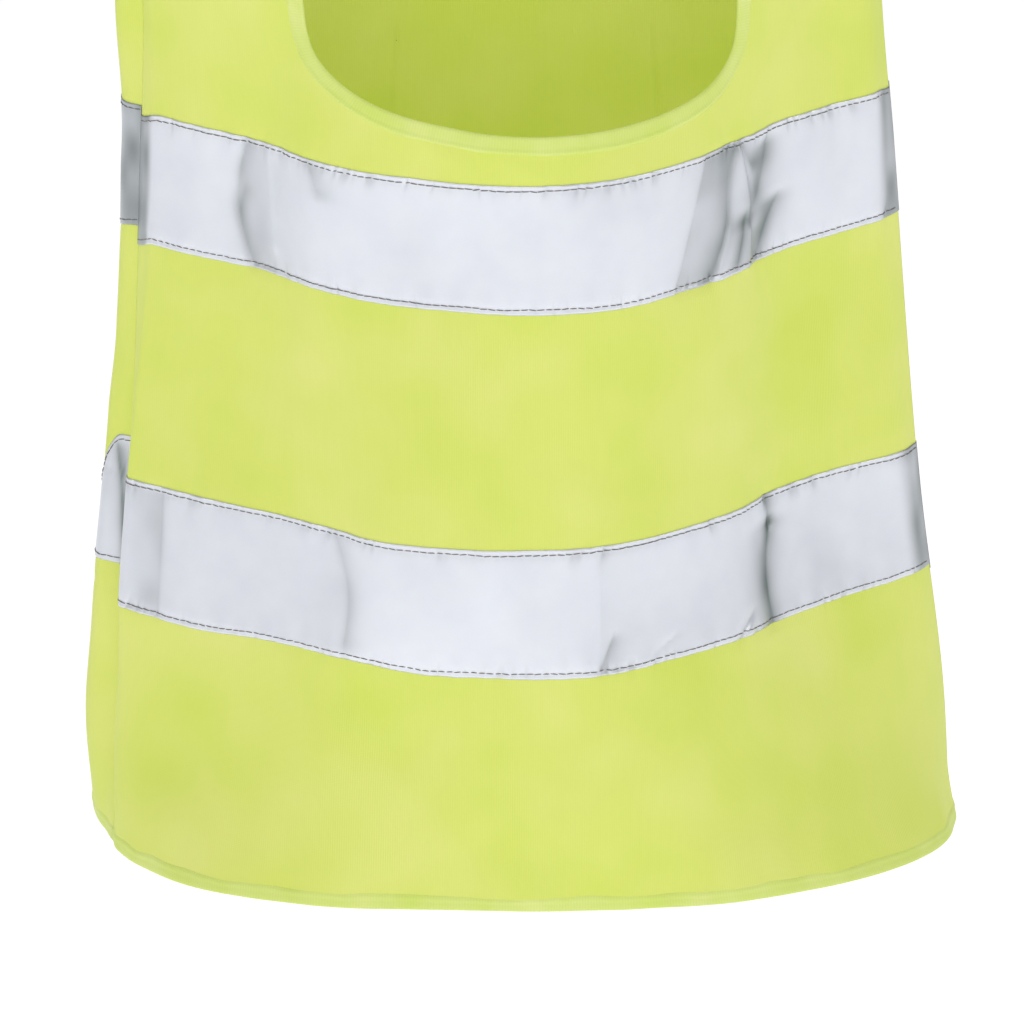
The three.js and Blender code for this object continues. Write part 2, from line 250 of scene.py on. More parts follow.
# Creases in the stiff tape. Each is a line through (x, height) points, from which a ridge, or a hollow where
# rise is below nought, fades over reach: towards the wearer's left, or the right where reach is below nought.
# Each crease also darkens the tape's colour by the last value of its entry: painted shade that fades in the
# same shape as the ridge or hollow.
FRONT_CREASES = (
    dict(line=((-98, 281), (-101, 257), (-96, 231)), reach=9, rise=-1.5, painted_shade=0.5),
    dict(line=((-98, 262), (-100, 250), (-96, 233)), reach=2.5, rise=0.0, painted_shade=0.25),
    dict(line=((-90, 281), (-88, 240)), reach=-5, rise=1.0, painted_shade=0.0),
    dict(line=((-77, 281), (-74, 268)), reach=4, rise=-0.8, painted_shade=0.35),
    dict(line=((67.5, 281), (55.5, 231)), reach=8, rise=-0.9, painted_shade=0.28),
    dict(line=((79.5, 281), (77.5, 268), (75.5, 249), (68.5, 231)), reach=-8, rise=-1.6, painted_shade=0.75),
    dict(line=((80, 281), (82, 268), (84, 254), (84, 231)), reach=-3, rise=1.6, painted_shade=0.12),
    dict(line=((81, 281), (86, 268)), reach=4, rise=-0.5, painted_shade=0.5),
    dict(line=((93, 277), (91, 266), (88, 255), (85, 248)), reach=-5, edge=2.6, rise=-1.4, painted_shade=0.95),
    dict(line=((97, 254), (92, 244), (88.5, 232)), reach=-6, edge=2.4, rise=-1.2, painted_shade=0.85),
    dict(line=((83, 253), (81, 241), (79, 233)), reach=-4, rise=-0.7, painted_shade=0.6),
    dict(line=((-127.5, 140), (-128.5, 115), (-130, 91)), reach=-8, rise=-0.8, painted_shade=0.35),
    dict(line=((-69, 141), (-64, 118), (-65.5, 97)), reach=3, rise=-0.5, painted_shade=0.3),
    dict(line=((25, 141), (26, 119), (25.5, 91)), reach=10, rise=-0.5, painted_shade=0.1),
    dict(line=((31, 106), (25.5, 92)), reach=2, rise=-0.7, painted_shade=0.5),
    dict(line=((91.5, 142), (94.3, 128)), reach=3, rise=-0.9, painted_shade=0.5),
    dict(line=((95, 131), (93.2, 118), (93.5, 106), (96.5, 91)), reach=-5, edge=2.0, rise=-1.6, painted_shade=1.0),
    dict(line=((85.5, 101), (79.5, 92)), reach=-3, rise=-0.8, painted_shade=0.4),
    dict(line=((54.6, 102), (47, 97)), reach=3, rise=-0.4, painted_shade=0.15),
)
BACK_CREASES = (
    dict(line=((-30, 284), (-34, 233)), reach=7, rise=-1.1, painted_shade=0.35),
    dict(line=((62, 282), (66, 232)), reach=-5, rise=-1.3, painted_shade=0.45),
    dict(line=((80, 141), (76, 92)), reach=6, rise=-1.3, painted_shade=0.5),
    dict(line=((-78, 146), (-82, 96)), reach=-5, rise=-1.0, painted_shade=0.3),
    dict(line=((-141.3, 150), (-140.6, 143), (-139.8, 136), (-139, 94)), reach=3, rise=-0.5, painted_shade=0.8),
)
CREASES = {FRONT: FRONT_CREASES, BACK: BACK_CREASES}
SHARP_SIDE = 1.1  # how far a crease reaches on its sharp side, unless its edge is given
GATHER_DEPTH = 0.42


def value_noise(seed, u, v):
    """Smooth noise from -1 to 1, with one bump about every unit of u and v."""
    lattice = np.random.RandomState(seed).uniform(-1, 1, (64, 64))
    i, j = np.floor(u).astype(int), np.floor(v).astype(int)
    fu, fv = u - i, v - j
    su, sv = fu * fu * (3 - 2 * fu), fv * fv * (3 - 2 * fv)
    a, b = lattice[i % 64, j % 64], lattice[(i + 1) % 64, j % 64]
    c, d = lattice[i % 64, (j + 1) % 64], lattice[(i + 1) % 64, (j + 1) % 64]
    return (a * (1 - su) + b * su) * (1 - sv) + (c * (1 - su) + d * su) * sv


def fold_rise(fold, x, height):
    (x0, h0), (x1, h1) = fold["start"], fold["end"]
    dx, dh = x1 - x0, h1 - h0
    size = dx * dx + dh * dh
    t = ((x - x0) * dx + (height - h0) * dh) / size
    near = np.clip(t, 0, 1)
    distance = np.hypot(x - x0 - near * dx, height - h0 - near * dh)
    shape = np.exp(-((distance / fold["width"]) ** 2) / 2)
    ends = ease(t, -0.15, 0.25) * ease(-t, -1.15, -0.75)
    return fold["rise"] * shape * ends


def crease_shape(crease, x, height):
    """1 on the line of the crease, falling to nought gently on one side and sharply on the other."""
    xs, heights = catmull_rom(crease["line"][::-1], 12).T
    offset = (x - np.interp(height, heights, xs)) * np.sign(crease["reach"])
    gentle = np.exp(-np.clip(offset / abs(crease["reach"]), 0, None) ** 1.3)
    sharp = np.exp(np.clip(offset, None, 0) / crease.get("edge", SHARP_SIDE))
    ends = ease(height, heights[0] - 3, heights[0] + 3) * ease(-height, -heights[-1] - 3, -heights[-1] + 3)
    return gentle * sharp * ends


def stitch_rows():
    """The heights of all the rows of lockstitch."""
    insets = (STITCH_INSET, TAPE_WIDTH - STITCH_INSET)
    return [bottom + inset for bottom in TAPE_BOTTOM.values() for inset in insets]


def gathers(side, arc, height):
    """The short creases, from 0 to 1, that the lockstitch draws across both edges of each tape."""
    total = 0
    for row in stitch_rows():
        slant = 0.5 * value_noise(53 + side, arc / 19 + 30, height * 0 + row)
        peaks = value_noise(51 + side, (arc + slant * (height - row)) / 1.7 + 300, height * 0 + row / 3)
        busy = 0.55 + 0.45 * value_noise(57 + side, arc / 23 + 40, height * 0 + row)
        total = total + busy * np.clip((peaks - 0.25) / 0.6, 0, 1) * np.exp(-(((height - row) / 3.0) ** 2))
    return total


def stitch_pull(side, arc, height):
    """How each row of lockstitch draws the tape down."""
    total = 0
    for row in stitch_rows():
        near = np.exp(-(((height - row) / 1.5) ** 2))
        wide = np.exp(-(((height - row) / 5.0) ** 2))
        uneven = 0.6 + 0.4 * value_noise(31 + side, arc / 14 + 40, height * 0 + row / 7)
        total = total - 0.16 * near - 0.08 * near * np.cos(2 * math.pi * arc / STITCH_PITCH)
        total = total + 0.22 * wide * uneven * np.sin(2 * math.pi * arc / 11.0 + 2 * np.sin(arc / 17.0))
    return total


def relief(side, across, along, x, height):
    """How far the folds, creases and gathers move the cloth outwards."""
    arc = arc_length(side, across, along)
    total = np.zeros_like(x)
    for fold in FOLDS[side]:
        total = total + fold_rise(fold, x, height)
    for crease in CREASES[side]:
        total = total + crease["rise"] * crease_shape(crease, x, height)
    total = total + 1.5 * value_noise(5 + side, arc / 42 + 20, height / 75 + 3)
    total = total + 0.55 * value_noise(11 + side, arc / 15 + 20, height / 34 + 9)
    total = total + stitch_pull(side, arc, height) - GATHER_DEPTH * gathers(side, arc, height)
    hem_wave = np.exp(-height / 16) * (1 - np.exp(-height / 3.0 - 0.25))
    total = total + 1.0 * hem_wave * value_noise(17 + side, arc / 13 + 20, height / 60)
    # No relief at the seams and at the ends of the surface, where the pieces have to meet.
    quiet = ease(1 - np.abs(across), 0, 0.05) * ease(2 - along, 0, 0.12)
    return total * quiet


def painted_shade_at_ends(side, level, across, arc, height):
    """Painted shade at the tape's ends, from 0 to 1, where they turn into the side seams and face away from
    the light, mottled a little.
    """
    left_end = arc_length(side, np.ones_like(across), height / SPRING) - arc
    right_end = arc - arc_length(side, -np.ones_like(across), height / SPRING)
    mottled = 0.8 + 0.3 * value_noise(61, arc / 6 + 40, height / 11)
    if side == FRONT:
        return (0.75 * ease(-left_end, -15, -6) + 0.7 * ease(-right_end, -11, -6)) * mottled
    strength = 0.75 if level == "upper" else 0.15
    return (0.5 * ease(-left_end, -16, -4) + strength * ease(-right_end, -34, -4)) * mottled


def tape_painted_shade(side, level, across, arc, x, height):
    """How much painted shade darkens the tape's colour, from 0 to 1: at its turned ends, in the stitch
    gathers and along the creases.
    """
    total = painted_shade_at_ends(side, level, across, arc, height) + 0.3 * gathers(side, arc, height)
    for crease in CREASES[side]:
        uneven = 0.85 + 0.3 * value_noise(67, arc / 7 + 40, height / 9)
        total = total + crease["painted_shade"] * crease_shape(crease, x, height) * uneven
    return np.clip(total, 0, 1)


def place(side, across, along, lift=0.0):
    """Points on the worn cloth, at a distance of lift from its middle."""
    across, along = np.broadcast_arrays(np.asarray(across, float), np.asarray(along, float))
    base = smooth_place(side, across, along)
    step = 0.0015
    a0, a1 = np.clip(across - step, -1, 1), np.clip(across + step, -1, 1)
    v0, v1 = np.clip(along - step, 0, 2), np.clip(along + step, 0, 2)

    def displaced(a, v):
        p = smooth_place(side, a, v)
        return p, relief(side, a, v, p[..., 0], p[..., 2])

    def normal_of(pa0, pa1, pv0, pv1):
        n = np.cross(pa1 - pa0, pv1 - pv0) * -side
        return n / np.maximum(np.linalg.norm(n, axis=-1, keepdims=True), 1e-12)

    samples = [displaced(a0, along), displaced(a1, along), displaced(across, v0), displaced(across, v1)]
    smooth_normal = normal_of(*[p for p, _ in samples])
    out = base + smooth_normal * relief(side, across, along, base[..., 0], base[..., 2])[..., None]
    if not np.any(lift):
        return out
    worn_normal = normal_of(*[p + smooth_normal * r[..., None] for p, r in samples])
    return out + worn_normal * np.asarray(lift)[..., None]


def find(side, x, height):
    """across and along of the point of a panel with this x and height."""
    x, height = np.broadcast_arrays(np.asarray(x, float), np.asarray(height, float))
    turned = np.clip((height - SPRING) / (shoulder_height(x) - SPRING), 0, 1)
    along = np.where(height <= SPRING, height / SPRING, 1 + np.arcsin(turned) / (math.pi / 2))
    low, high = np.full(x.shape, -1.0), np.full(x.shape, 1.0)
    for _ in range(40):
        middle = (low + high) / 2
        too_far = smooth_place(side, middle, along)[..., 0] > x
        high, low = np.where(too_far, middle, high), np.where(too_far, low, middle)
    return (low + high) / 2, along


# ---- outlines of the openings, as (x, height) ----

FRONT_NECK = ((-79, 490), (-80, 430), (-80.5, 375), (-79.5, 345), (-74, 322), (-60, 310), (-36, 303.5),
              (0, 300.2), (34, 300.2), (57, 303), (70, 308), (77.5, 317), (80, 342), (80.5, 375), (80, 430),
              (79, 490))
BACK_NECK = ((79, 490), (77, 474), (66, 461), (40, 453.5), (0, 452), (-40, 453.5), (-66, 461), (-77, 474),
             (-79, 490))
ARMHOLE_BOTTOM = 333
# The left armhole's edge from the underarm up to the shoulder. It is the same at the front and at the back.
ARMHOLE_EDGE = ((139, ARMHOLE_BOTTOM), (132, 336), (123, 350), (119, 375), (119, 405), (122, 440),
                (126, 462), (128, 476.5))
EDGE_STEPS = 30  # between two points of an opening's outline


def above_neckline(points, x, height):
    line = catmull_rom(points, EDGE_STEPS)
    order = np.argsort(line[:, 0])
    return height > np.interp(x, line[order, 0], line[order, 1], left=1e4, right=1e4)


# ---- mesh making ----


def to_metres(points):
    return (np.asarray(points, float) - np.array([0, 0, TOTAL_LENGTH])) * MM


def new_object(name, vertices, faces, uvs, painted_shade=None):
    """A mesh object from points in millimetres above the hem, with UVs in metres of cloth."""
    mesh = bpy.data.meshes.new(name)
    mesh.from_pydata(to_metres(vertices).tolist(), [], [list(map(int, f)) for f in faces])
    layer = mesh.uv_layers.new(name="cloth")
    corner = np.empty(len(mesh.loops), int)
    mesh.loops.foreach_get("vertex_index", corner)
    layer.data.foreach_set("uv", (np.asarray(uvs)[corner] * MM).ravel())
    # An optional per-point share of painted shade, which the tape's material darkens its colour by.
    if painted_shade is not None:
        mesh.attributes.new("painted_shade", "FLOAT", "POINT").data.foreach_set("value", np.ravel(painted_shade))
    mesh.polygons.foreach_set("use_smooth", [True] * len(mesh.polygons))
    mesh.update()
    obj = bpy.data.objects.new(name, mesh)
    bpy.context.scene.collection.objects.link(obj)
    return obj


def grid_faces(rows, columns, flip=False, closed=False):
    """The quads of a grid of points. A closed one joins its last column to its first."""
    r = np.arange(rows - 1)[:, None]
    c = np.arange(columns if closed else columns - 1)[None, :]
    after = (c + 1) % columns
    quads = np.stack(np.broadcast_arrays(r * columns + c, r * columns + after, (r + 1) * columns + after,
                                         (r + 1) * columns + c), axis=-1).reshape(-1, 4)
    return quads[:, ::-1] if flip else quads


def keep_faces(vertices, faces, uvs, keep):
    """Drops faces and the points that no face uses any more."""
    faces = faces[keep]
    used = np.unique(faces)
    renumber = np.full(len(vertices), -1)
    renumber[used] = np.arange(len(used))
    return vertices[used], renumber[faces], uvs[used]


def thicken(obj, thickness):
    """Makes the sheet a closed solid with the given thickness in millimetres, half to each side."""
    modifier = obj.modifiers.new("thickness", "SOLIDIFY")
    modifier.thickness = thickness * MM
    modifier.offset = 0
    modifier.use_even_offset = False
    modifier.use_rim = True
    depsgraph = bpy.context.evaluated_depsgraph_get()
    mesh = bpy.data.meshes.new_from_object(obj.evaluated_get(depsgraph))
    obj.modifiers.clear()
    obj.data = mesh


# ---- materials ----


WAVE_FREQUENCY = 20  # what the wave texture multiplies a place by


class Nodes:
    """Short names for building one material's node tree."""

    def __init__(self, name):
        self.material = bpy.data.materials.new(name)
        self.material.use_nodes = True
        self.tree = self.material.node_tree
        self.shader = self.tree.nodes["Principled BSDF"]

    def node(self, kind, **settings):
        made = self.tree.nodes.new(kind)
        for key, value in settings.items():
            if key in made.inputs:
                made.inputs[key].default_value = value
            else:
                setattr(made, key, value)
        return made

    def link(self, output, target):
        self.tree.links.new(output, target)
        return output

    def cloth_position(self, along_scale=1.0):
        """The place on the flat cloth. A small along_scale draws a pattern out into upright streaks."""
        uv = self.node("ShaderNodeUVMap", uv_map="cloth")
        scale = self.node("ShaderNodeMapping")
        scale.inputs["Scale"].default_value = (1, along_scale, 1)
        self.link(uv.outputs["UV"], scale.inputs["Vector"])
        return scale.outputs["Vector"]

    def wave(self, vector, direction, pitch_mm, distortion=0.0, detail=0.0):
        """Sine stripes with this distance between their crests."""
        wave = self.node("ShaderNodeTexWave", bands_direction=direction, wave_profile="SIN")
        wave.inputs["Scale"].default_value = 2 * math.pi / (pitch_mm * MM) / WAVE_FREQUENCY
        wave.inputs["Distortion"].default_value = distortion
        wave.inputs["Detail"].default_value = detail
        self.link(vector, wave.inputs["Vector"])
        return wave.outputs["Fac"]

    def noise(self, vector, size_mm, detail=2.0):
        noise = self.node("ShaderNodeTexNoise")
        noise.inputs["Scale"].default_value = 1 / (size_mm * MM)
        noise.inputs["Detail"].default_value = detail
        self.link(vector, noise.inputs["Vector"])
        return noise.outputs["Fac"]

    def math(self, operation, a, b):
        made = self.node("ShaderNodeMath", operation=operation)
        for socket, value in zip(made.inputs, (a, b)):
            if isinstance(value, (int, float)):
                socket.default_value = value
            else:
                self.link(value, socket)
        return made.outputs[0]

    def between(self, factor, low, high, start=0.0, end=1.0):
        ramp = self.node("ShaderNodeValToRGB")
        ramp.color_ramp.elements[0].position, ramp.color_ramp.elements[1].position = start, end
        ramp.color_ramp.elements[0].color, ramp.color_ramp.elements[1].color = (*low, 1), (*high, 1)
        self.link(factor, ramp.inputs["Fac"])
        return ramp.outputs["Color"]

    def multiply(self, first, second):
        mix = self.node("ShaderNodeMix", data_type="RGBA", blend_type="MULTIPLY")
        mix.inputs["Factor"].default_value = 1.0
        self.link(first, mix.inputs["A"])
        self.link(second, mix.inputs["B"])
        return mix.outputs["Result"]

    def bump(self, height, distance_mm, strength=1.0):
        bump = self.node("ShaderNodeBump")
        bump.inputs["Strength"].default_value = strength
        bump.inputs["Distance"].default_value = distance_mm * MM
        self.link(height, bump.inputs["Height"])
        self.link(bump.outputs["Normal"], self.shader.inputs["Normal"])


def set_shader(nodes, **values):
    """Sets inputs of the shader by name, with underscores for spaces."""
    for key, value in values.items():
        nodes.shader.inputs[key.replace("_", " ")].default_value = value


KNIT_PALE = (0.69, 0.73, 0.20)
KNIT_DEEP = (0.61, 0.70, 0.12)
BINDING_PALE = (0.66, 0.73, 0.24)
BINDING_DEEP = (0.58, 0.69, 0.15)
# Strength of the painted glow that stands in for the dye's fluorescence and lifts the cloth's shade.
FLUORESCENT_PAINTED_GLOW = 0.16


def make_fluorescent_with_painted_glow(nodes):
    """The matt, downy surface of the dyed polyester, with a steady painted glow of the cloth's own colour:
    the dye's fluorescence made into emission that brightens the shaded parts as well and flattens the
    shading.
    """
    set_shader(nodes, Roughness=0.82, Emission_Strength=FLUORESCENT_PAINTED_GLOW, Sheen_Weight=0.25, Sheen_Roughness=0.5)
    set_shader(nodes, Specular_IOR_Level=0.25, Sheen_Tint=(0.95, 1.0, 0.7, 1))


def knit_material():
    """Warp knit: fine upright ribs of stitches, with the slight unevenness of a dyed cloth."""
    n = Nodes("fluorescent_knit")
    cloth = n.cloth_position()
    ribs = n.wave(cloth, "X", 0.85, 0.6, 1)
    loops = n.wave(cloth, "Y", 0.6, 1.0, 1)
    patches = n.noise(cloth, 55, 2)
    streaks = n.noise(n.cloth_position(along_scale=0.06), 1.6, 2)
    colour = n.between(patches, KNIT_DEEP, KNIT_PALE, 0.3, 0.7)
    shade = n.math("ADD", n.math("MULTIPLY", ribs, 0.55), n.math("MULTIPLY", streaks, 0.45))
    colour = n.multiply(colour, n.between(shade, (0.97, 0.98, 0.93), (1.0, 1.0, 1.0), 0.15, 0.75))
    n.link(colour, n.shader.inputs["Base Color"])
    # The cloth's colour also feeds its painted glow, which flattens its shading.
    n.link(colour, n.shader.inputs["Emission Color"])
    knots = n.math("MULTIPLY", n.math("MULTIPLY", ribs, loops), 0.6)
    height = n.math("ADD", n.math("MULTIPLY", ribs, 0.7), knots)
    n.bump(n.math("ADD", height, n.math("MULTIPLY", streaks, 0.3)), 0.08, 0.4)
    make_fluorescent_with_painted_glow(n)
    return n.material


def binding_material():
    """The same cloth folded over an edge, with its ribs across the band."""
    n = Nodes("fluorescent_binding")
    cloth = n.cloth_position()
    ribs = n.wave(cloth, "X", 1.05, 0.8, 1)
    fine = n.noise(cloth, 0.7, 2)
    patches = n.noise(cloth, 22, 2)
    colour = n.between(patches, BINDING_DEEP, BINDING_PALE, 0.3, 0.7)
    shade = n.math("ADD", n.math("MULTIPLY", ribs, 0.7), n.math("MULTIPLY", fine, 0.3))
    colour = n.multiply(colour, n.between(shade, (0.96, 0.97, 0.90), (1.0, 1.0, 1.0), 0.1, 0.8))
    n.link(colour, n.shader.inputs["Base Color"])
    # The binding's colour also feeds its painted glow, which flattens its shading.
    n.link(colour, n.shader.inputs["Emission Color"])
    n.bump(n.math("ADD", ribs, n.math("MULTIPLY", fine, 0.4)), 0.07, 0.5)
    make_fluorescent_with_painted_glow(n)
    return n.material


PAINTED_CREASE_SHADE = (0.20, 0.235, 0.205)  # painted shade: the colour the tape is darkened to where its painted shade is full


def tape_material():
    """Glass beads in a silver binder: bright facing the light, grey turned away, and darkened with painted
    shade in its creases, stitch gathers and turned ends.
    """
    n = Nodes("reflective_tape")
    cloth = n.cloth_position()
    beads = n.noise(cloth, 0.25, 2)
    cloudy = n.noise(cloth, 16, 3)
    weave = n.wave(cloth, "DIAGONAL", 0.5, 0.3, 0)
    colour = n.between(cloudy, (0.78, 0.80, 0.86), (0.83, 0.85, 0.90), 0.3, 0.7)
    colour = n.multiply(colour, n.between(beads, (0.94, 0.94, 0.95), (1.0, 1.0, 1.0), 0.3, 0.7))
    # Per-point painted shade of the creases, gathers and turned ends darkens the tape's colour.
    painted_shade = n.node("ShaderNodeAttribute", attribute_name="painted_shade")
    colour = n.multiply(colour, n.between(painted_shade.outputs["Fac"], (1.0, 1.0, 1.0), PAINTED_CREASE_SHADE, 0.0, 1.0))
    n.link(colour, n.shader.inputs["Base Color"])
    n.link(n.between(cloudy, (0.36,) * 3, (0.46,) * 3, 0.3, 0.7), n.shader.inputs["Roughness"])
    n.bump(n.math("ADD", n.math("MULTIPLY", beads, 0.6), n.math("MULTIPLY", weave, 0.4)), 0.02, 0.35)
    set_shader(n, Metallic=0.78)
    return n.material


def thread_material():
    n = Nodes("stitch_thread")
    cloth = n.cloth_position()
    twist = n.wave(cloth, "DIAGONAL", 0.35, 0.5, 0)
    colour = n.between(twist, (0.15, 0.135, 0.12), (0.26, 0.24, 0.22), 0.2, 0.8)
    n.link(colour, n.shader.inputs["Base Color"])
    n.bump(twist, 0.05, 0.6)
    set_shader(n, Roughness=0.65, Sheen_Weight=0.3, Sheen_Roughness=0.4)
    return n.material


def overlock_material():
    """Pale thread over the raw edge of a seam allowance."""
    n = Nodes("overlocked_edge")
    cloth = n.cloth_position()
    loops = n.wave(cloth, "DIAGONAL", 1.6, 1.0, 1)
    colour = n.between(loops, (0.5, 0.62, 0.09), (0.72, 0.82, 0.24), 0.3, 0.7)
    n.link(colour, n.shader.inputs["Base Color"])
    n.bump(loops, 0.25, 0.8)
    set_shader(n, Roughness=0.8, Sheen_Weight=0.2)
    return n.material


def label_material():
    n = Nodes("woven_label")
    cloth = n.cloth_position()
    ribs = n.wave(cloth, "Y", 0.4, 0.2, 0)
    weft = n.wave(cloth, "X", 0.3, 0.2, 0)
    cloudy = n.noise(cloth, 9, 2)
    colour = n.between(cloudy, (0.84, 0.84, 0.82), (0.9, 0.9, 0.885), 0.3, 0.7)
    n.link(colour, n.shader.inputs["Base Color"])
    n.bump(n.math("ADD", ribs, n.math("MULTIPLY", weft, 0.5)), 0.04, 0.6)
    set_shader(n, Roughness=0.5, Sheen_Weight=0.3)
    return n.material


MATERIALS = {
    "knit": knit_material(),
    "binding": binding_material(),
    "tape": tape_material(),
    "thread": thread_material(),
    "overlock": overlock_material(),
    "label": label_material(),
}


def finish_piece(obj, look, body="vest", stands_for=()):
    """Sets a piece's material and body, and hides the CAD nodes that it stands for."""
    obj.data.materials.clear()
    obj.data.materials.append(MATERIALS[look])
    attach(obj, body)
    if stands_for:
        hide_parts(*stands_for)
    return obj


# ---- the panels ----

CLOTH_COLUMNS = 520  # shared with the tapes, so that both follow the same creases
BODY_ROWS = 220
SHOULDER_ROWS = 70
ALLOWANCE = 3.0  # how far a panel's cut edge reaches into the binding round it


def front_tape_height(level, above, across):
    """The upper tape droops into both seams, and the lower one is drawn up a little beside the middle."""
    if level == "upper":
        droop = 3.5 * ease(-across, 0.92, 1.0) + 2.0 * ease(across, 0.93, 1.0) * above / TAPE_WIDTH
        return TAPE_BOTTOM[level] + above - droop
    beside = ease(-across, 0.2, 0.38) * ease(across, -0.75, -0.55) + ease(across, 0.12, 0.3)
    return TAPE_BOTTOM[level] + 2.0 * beside + above * (1 - 0.045 * beside)


def tape_height(side, level, above, across):
    """The height of a point this far above a tape's lower edge. At the wearer's right seam the back tapes
    were sewn higher than the front ones, and the upper one is gathered into the seam."""
    if side == FRONT:
        return front_tape_height(level, above, across)
    if level == "upper":
        near_seam = ease(-across, 0.89, 1.0)
        return TAPE_BOTTOM[level] + 3.5 * near_seam + above * (1 - 0.07 * near_seam)
    near_seam = ease(-across, 0.45, 0.95)
    # The cloth bags over the lower tape a little behind the seam and draws its upper edge down.
    tuck = ease(-across, 0.5, 0.88) * ease(across, -0.975, -0.88)
    return TAPE_BOTTOM[level] + 12.0 * near_seam + above * (1 - 0.42 * tuck * ease(above, 10, TAPE_WIDTH))


def under_tape(side, across, along):
    """1 well under a tape and nought outside it."""
    total = 0
    for level in TAPE_BOTTOM:
        height = np.clip(along, 0, 1) * SPRING
        from_below = height - tape_height(side, level, 0, across)
        from_above = tape_height(side, level, TAPE_WIDTH, across) - height
        total = total + ease(from_below, 1.5, 3.5) * ease(from_above, 1.5, 3.5)
    return total * ease(1 - np.abs(across), 0.005, 0.03)


def panel(side, name):
    """One whole side of the surface, less the neck and the armholes."""
    across = np.linspace(-1, 1, CLOTH_COLUMNS)
    body = np.linspace(0, 1, BODY_ROWS)
    along = np.concatenate([body, np.linspace(1, 2, SHOULDER_ROWS)[1:]])
    a, v = np.meshgrid(across, along)
    points = place(side, a, v, -UNDER_TAPE * under_tape(side, a, v))
    vertices = points.reshape(-1, 3)
    uvs = np.stack([arc_length(side, a, v), points[..., 2]], axis=-1).reshape(-1, 2)
    faces = grid_faces(len(along), len(across), flip=side == BACK)
    centres = vertices[faces].mean(axis=1)
    x, height = centres[:, 0], centres[:, 2]
    neck = FRONT_NECK if side == FRONT else BACK_NECK
    cut = above_neckline(neck, x * (1 - ALLOWANCE / NECK_HALF_WIDTH), height + ALLOWANCE)
    arm = catmull_rom(ARMHOLE_EDGE, EDGE_STEPS)
    edge = np.interp(height, arm[:, 1], arm[:, 0] - ALLOWANCE, left=1e4)
    cut |= (np.abs(x) > edge) & (height > ARMHOLE_BOTTOM - ALLOWANCE)
    vertices, faces, uvs = keep_faces(vertices, faces, uvs, ~cut)
    obj = new_object(name, vertices, faces, uvs)
    thicken(obj, FABRIC)
    return obj


front_panel = finish_piece(panel(FRONT, "front_panel_cloth"), "knit", stands_for=["front_panel"])
back_panel = finish_piece(panel(BACK, "back_panel_cloth"), "knit", stands_for=["back_panel"])

# ---- the reflective tapes and their stitching ----

TAPE_EDGE_ROWS = np.array([0.0, 0.7, 1.35, STITCH_INSET, 2.65, 3.4, 4.4])
TAPE_ROWS = np.concatenate([TAPE_EDGE_ROWS, np.linspace(5.7, TAPE_WIDTH - 5.7, 28),
                            TAPE_WIDTH - TAPE_EDGE_ROWS[::-1]])


def tape(side, side_name, level):
    a, above = np.meshgrid(np.linspace(-1, 1, CLOTH_COLUMNS), TAPE_ROWS)
    v = tape_height(side, level, above, a) / SPRING
    points = place(side, a, v, np.full(a.shape, TAPE_LIFT))
    arc = arc_length(side, a, v)
    uvs = np.stack([arc, points[..., 2]], axis=-1).reshape(-1, 2)
    # Painted shade of the tape's creases, stitch gathers and turned ends, kept on each point.
    painted_shade = tape_painted_shade(side, level, a, arc, smooth_place(side, a, v)[..., 0], v * SPRING)
    faces = grid_faces(len(TAPE_ROWS), CLOTH_COLUMNS, flip=side == BACK)
    obj = new_object(f"{side_name}_{level}_tape_strip", points.reshape(-1, 3), faces, uvs, painted_shade)
    thicken(obj, TAPE_THICKNESS)
    return finish_piece(obj, "tape", stands_for=[f"{side_name}_{level}_tape"])


STITCH_SIDES = 6
STITCH_SAMPLES = 3000
# One stitch as rings of (place along it, share of its radius, rise in millimetres).
STITCH_PROFILE = ((-0.5, 0.55, -0.12), (-0.42, 0.85, -0.05), (-0.2, 1.0, 0.03), (0.0, 1.0, 0.06),
                  (0.2, 1.0, 0.03), (0.42, 0.85, -0.05), (0.5, 0.55, -0.12))


def stitches(centres, ahead, out, name):
    """One short thread for each centre: it rises from the cloth, runs ahead and goes down again."""
    rings = len(STITCH_PROFILE)
    angle = np.arange(STITCH_SIDES) * 2 * math.pi / STITCH_SIDES
    beside = np.cross(ahead, out)
    beside /= np.linalg.norm(beside, axis=1, keepdims=True)
    tilt = np.random.RandomState(71).uniform(-0.12, 0.12, (len(centres), 1))
    vertices = []
    for along, thickness, rise in STITCH_PROFILE:
        middle = centres + (ahead + beside * tilt) * along * STITCH_LENGTH + out * rise
        ring = beside[:, None] * np.cos(angle)[None, :, None] + out[:, None] * np.sin(angle)[None, :, None]
        vertices.append(middle[:, None] + ring * thickness * STITCH_RADIUS)
    vertices = np.stack(vertices, axis=1).reshape(-1, 3)
    one = grid_faces(rings, STITCH_SIDES, closed=True)
    per = rings * STITCH_SIDES
    faces = (one[None] + (np.arange(len(centres)) * per)[:, None, None]).reshape(-1, 4).tolist()
    first = list(range(STITCH_SIDES))[::-1]
    last = [(rings - 1) * STITCH_SIDES + i for i in range(STITCH_SIDES)]
    for k in range(len(centres)):
        faces.append([k * per + i for i in first])
        faces.append([k * per + i for i in last])
    ring_uv = np.stack(np.meshgrid(np.arange(rings) * 0.4, np.arange(STITCH_SIDES) * 0.25, indexing="ij"), -1)
    uvs = np.tile(ring_uv.reshape(-1, 2), (len(centres), 1))
    return new_object(name, vertices, faces, uvs)


